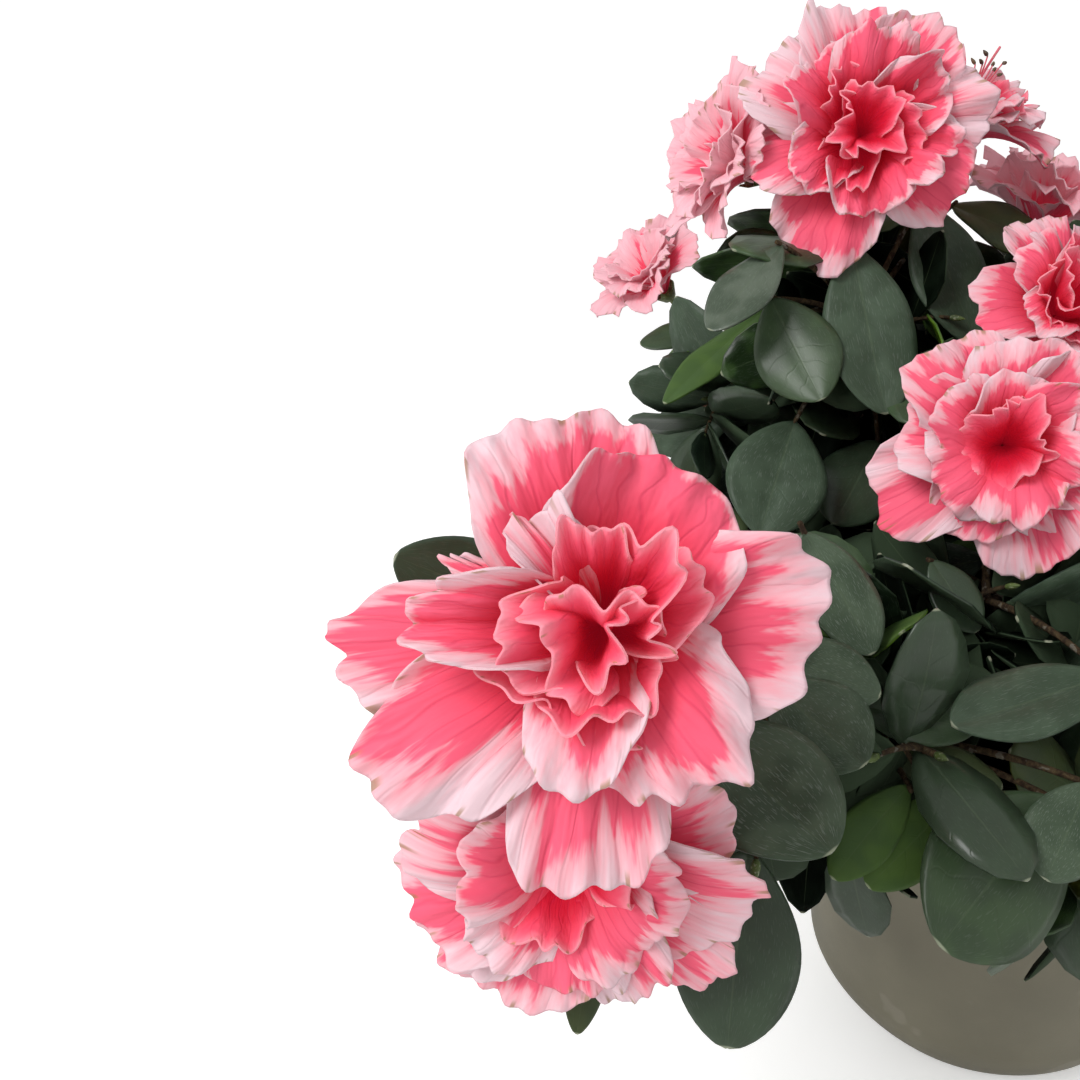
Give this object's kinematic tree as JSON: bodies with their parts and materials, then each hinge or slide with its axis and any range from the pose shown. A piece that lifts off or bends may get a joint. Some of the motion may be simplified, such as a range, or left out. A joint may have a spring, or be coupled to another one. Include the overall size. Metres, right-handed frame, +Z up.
{
  "type": "potted azalea shrub",
  "caption": "Pot-grown azalea shrub in full bloom, with leafy masses and double pink flowers, in a plain tapered grey pot.",
  "frame": {"origin": "middle of the pot's flat underside", "axes": "+Z up along the pot's axis; the long flowering bough reaches towards -X and -Y"},
  "size_m": [0.3147, 0.292, 0.2974],
  "materials": {
    "pot": "matte taupe-grey moulded plastic",
    "potting_mix": "dark crumbly peat",
    "bark": "rough brown bark",
    "leaf": "dark green, finely haired",
    "petal": "soft pink with pale ruffled margins"
  },
  "bodies": {
    "root": {"pot": "pot", "potting_mix": "potting_mix", "trunk": "bark", "bough_back_left": "bark", "bough_front_left": "bark", "bough_front_left_spray": "bark", "bough_low_back_left": "bark", "bough_low_back_right": "bark", "bough_low_front": "bark", "bough_low_front_right": "bark", "bough_low_left": "bark", "bough_low_right": "bark", "bough_mid_back": "bark", "bough_mid_front_left": "bark", "bough_mid_front_right": "bark", "bough_mid_right": "bark", "bough_top_left": "bark", "bough_top_right": "bark", "flower_bough_back": "bark", "flower_bough_back_left": "bark", "flower_bough_back_right": "bark", "flower_bough_front": "bark", "flower_bough_front_left": "bark", "flower_bough_front_right": "bark", "flower_bough_left": "bark", "flower_bough_low_right": "bark", "flower_bough_right": "bark", "flower_bough_top_back": "bark", "flower_bough_top_left": "bark", "bloom_back": "petal", "bloom_back_left": "petal", "bloom_back_right": "petal", "bloom_front": "petal", "bloom_front_left": "petal", "bloom_front_right": "petal", "bloom_left": "petal", "bloom_low_right": "petal", "bloom_right": "petal", "bloom_top_back": "petal", "bloom_top_left": "petal", "foliage_back_left": "leaf", "foliage_front_left": "leaf", "foliage_front_left_spray": "leaf", "foliage_low_back_left": "leaf", "foliage_low_back_right": "leaf", "foliage_low_front": "leaf", "foliage_low_front_right": "leaf", "foliage_low_left": "leaf", "foliage_low_right": "leaf", "foliage_mid_back": "leaf", "foliage_mid_front_left": "leaf", "foliage_mid_front_right": "leaf", "foliage_mid_right": "leaf", "foliage_top_left": "leaf", "foliage_top_right": "leaf"}
  },
  "joints": []
}
